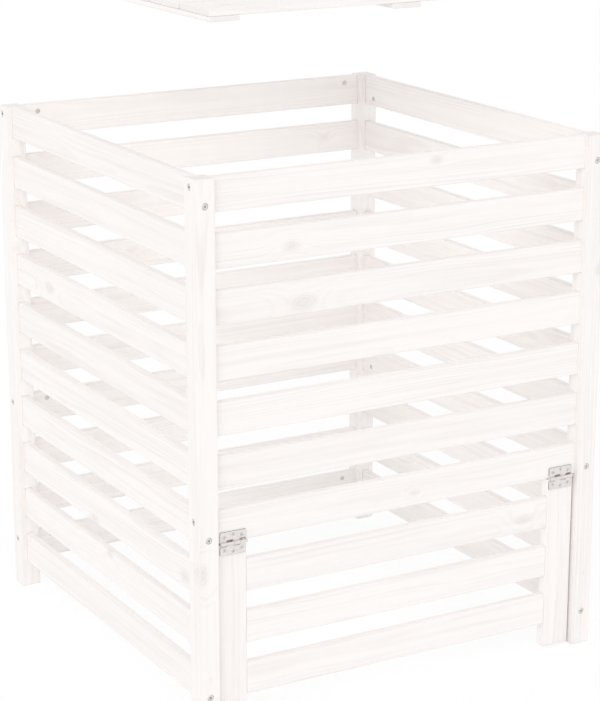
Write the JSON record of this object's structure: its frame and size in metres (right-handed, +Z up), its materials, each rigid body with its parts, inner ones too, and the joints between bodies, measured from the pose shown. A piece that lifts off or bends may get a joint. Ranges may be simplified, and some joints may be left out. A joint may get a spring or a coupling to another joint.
{
  "type": "wooden compost bin",
  "caption": "Square slatted compost bin of white-stained wood, open at the foot, with a hinged flap low in the front wall and a loose plank lid held above the rim.",
  "frame": {"origin": "on the ground, midway between the four posts", "axes": "+X to the right along the front wall, +Y from the front wall to the back, +Z up"},
  "size_m": [0.825, 0.825, 1.243],
  "materials": {
    "white_wood": "pine under a thin white stain, matt",
    "bolt_steel": "zinc-plated steel",
    "hinge_steel": "zinc-plated sheet steel"
  },
  "bodies": {
    "frame": {"post_front_left": "white_wood", "post_front_right": "white_wood", "post_back_left": "white_wood", "post_back_right": "white_wood", "front_slat_01": "white_wood", "front_slat_02": "white_wood", "front_slat_03": "white_wood", "front_slat_04": "white_wood", "front_slat_05": "white_wood", "front_slat_06": "white_wood", "front_slat_07": "white_wood", "back_slat_01": "white_wood", "back_slat_02": "white_wood", "back_slat_03": "white_wood", "back_slat_04": "white_wood", "back_slat_05": "white_wood", "back_slat_06": "white_wood", "back_slat_07": "white_wood", "back_slat_08": "white_wood", "back_slat_09": "white_wood", "back_slat_10": "white_wood", "left_slat_01": "white_wood", "left_slat_02": "white_wood", "left_slat_03": "white_wood", "left_slat_04": "white_wood", "left_slat_05": "white_wood", "left_slat_06": "white_wood", "left_slat_07": "white_wood", "left_slat_08": "white_wood", "left_slat_09": "white_wood", "left_slat_10": "white_wood", "right_slat_01": "white_wood", "right_slat_02": "white_wood", "right_slat_03": "white_wood", "right_slat_04": "white_wood", "right_slat_05": "white_wood", "right_slat_06": "white_wood", "right_slat_07": "white_wood", "right_slat_08": "white_wood", "right_slat_09": "white_wood", "right_slat_10": "white_wood", "frame_bolts": "bolt_steel", "barrel_nuts": "bolt_steel", "hinge_leaf_frame_left": "hinge_steel", "hinge_leaf_frame_right": "hinge_steel", "hinge_pins": "hinge_steel", "hinge_screws_frame": "hinge_steel"},
    "flap": {"flap_stile_left": "white_wood", "flap_stile_right": "white_wood", "flap_slat_08": "white_wood", "flap_slat_09": "white_wood", "flap_slat_10": "white_wood", "hinge_leaf_flap_left": "hinge_steel", "hinge_leaf_flap_right": "hinge_steel", "hinge_screws_flap": "hinge_steel"},
    "lid": {"lid_planks": "white_wood", "lid_battens": "white_wood", "lid_screws": "bolt_steel"}
  },
  "joints": [
    {"name": "flap_hinge", "type": "hinge", "parent": "frame", "child": "flap", "pos_m": [0, -0.404, 0.338], "axis": [-1, 0, 0], "range_deg": [0, 180]},
    {"name": "lid_lift", "type": "slide", "parent": "frame", "child": "lid", "axis": [0, 0, 1], "range_m": [-0.2478, 0]}
  ]
}
